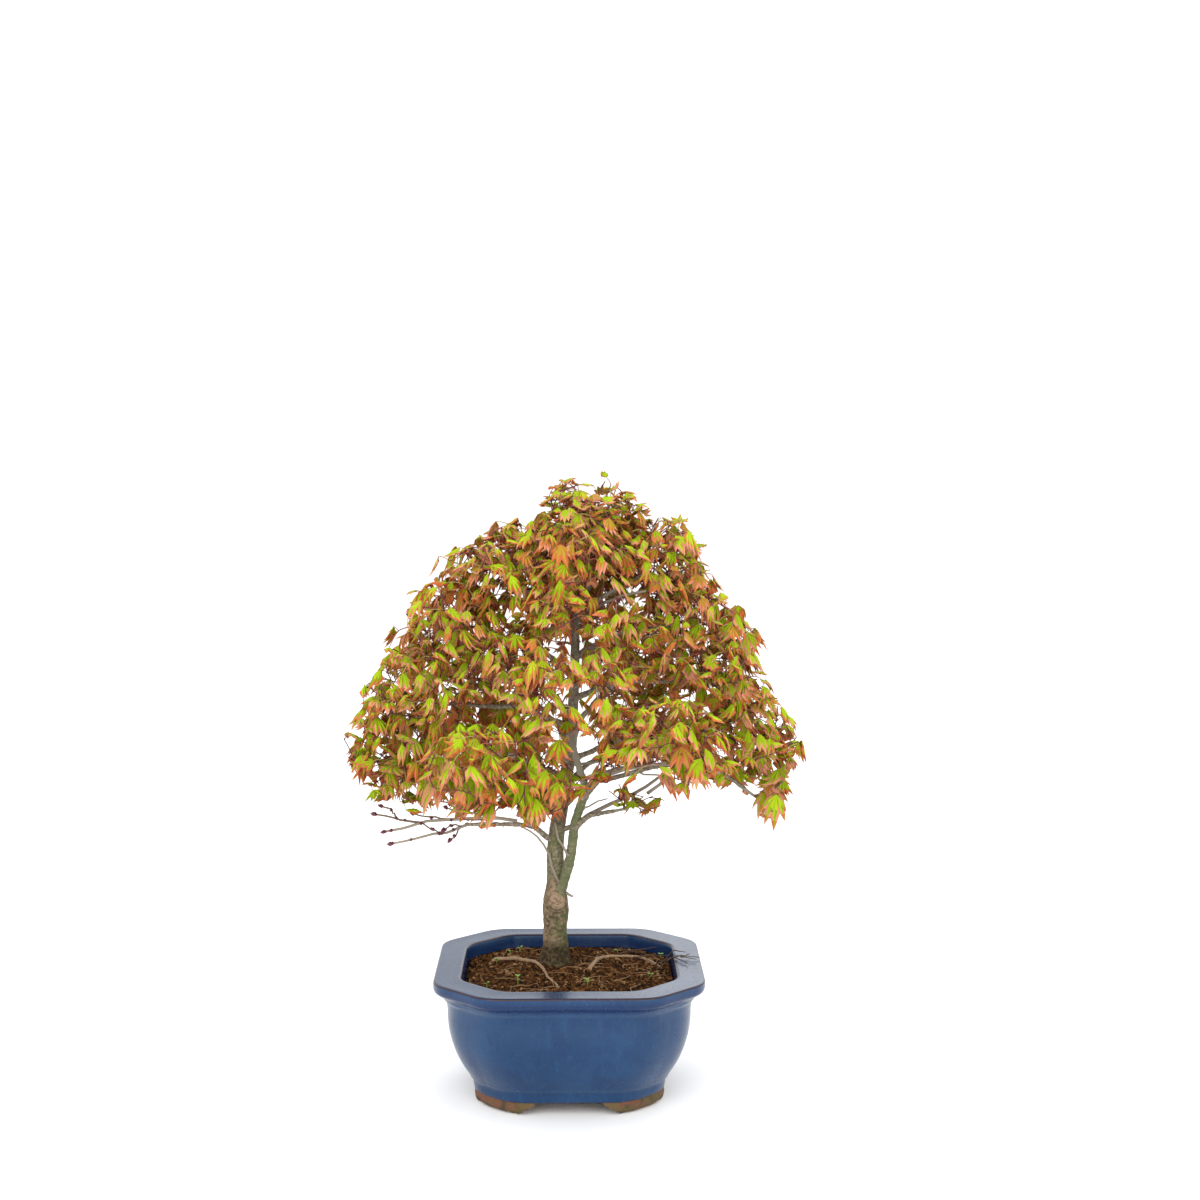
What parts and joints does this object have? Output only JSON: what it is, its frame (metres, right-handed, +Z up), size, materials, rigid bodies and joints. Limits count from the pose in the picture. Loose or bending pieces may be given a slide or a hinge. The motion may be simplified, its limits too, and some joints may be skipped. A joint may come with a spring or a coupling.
{
  "type": "bonsai maple tree",
  "caption": "Bonsai maple in spring leaf: a slim trunk with a second stem and tiered boughs, growing from soil in a wide glazed pot with cut corners and feet.",
  "frame": {"origin": "the middle of the plan, on the ground under the pot's feet", "axes": "+Z up, -Y the pot's front, +X to the right seen from the front"},
  "size_m": [0.2687, 0.2191, 0.353],
  "materials": {
    "glaze": "mottled blue glaze with a brown edge, and bare brown clay feet",
    "soil": "loose red-brown baked clay granules",
    "bark": "grey-brown bark with green moss",
    "foliage": "thin matt leaves, lime green with rusty margins",
    "buds": "thin bare twigs with dark red buds"
  },
  "bodies": {
    "root": {"bough_bare_left": "bark", "bough_crown_back": "bark", "bough_hanging_right": "bark", "bough_inner_right": "bark", "bough_low_back_left": "bark", "bough_low_back_right": "bark", "bough_low_front_left": "bark", "bough_low_front_right": "bark", "bough_low_left": "bark", "bough_low_right": "bark", "bough_mid_back_left": "bark", "bough_mid_back_right": "bark", "bough_mid_left": "bark", "bough_mid_right": "bark", "bough_shoulder_left": "bark", "bough_shoulder_right": "bark", "bough_top": "bark", "bough_upper_back": "bark", "bough_upper_front": "bark", "bough_upper_left": "bark", "bough_upper_right": "bark", "foliage_crown_back": "foliage", "foliage_crown_front": "foliage", "foliage_hanging_right": "foliage", "foliage_inner_right": "foliage", "foliage_low_back_left": "foliage", "foliage_low_back_right": "foliage", "foliage_low_front_left": "foliage", "foliage_low_front_right": "foliage", "foliage_low_left": "foliage", "foliage_low_right": "foliage", "foliage_mid_back_left": "foliage", "foliage_mid_back_right": "foliage", "foliage_mid_front": "foliage", "foliage_mid_left": "foliage", "foliage_mid_right": "foliage", "foliage_shoulder_left": "foliage", "foliage_shoulder_right": "foliage", "foliage_top": "foliage", "foliage_upper_back": "foliage", "foliage_upper_front": "foliage", "foliage_upper_left": "foliage", "foliage_upper_right": "foliage", "pot": "glaze", "second_stem": "bark", "soil": "soil", "surface_root_left": "bark", "surface_root_right": "bark", "trunk": "bark", "twigs_bare_left": "buds"}
  },
  "joints": []
}
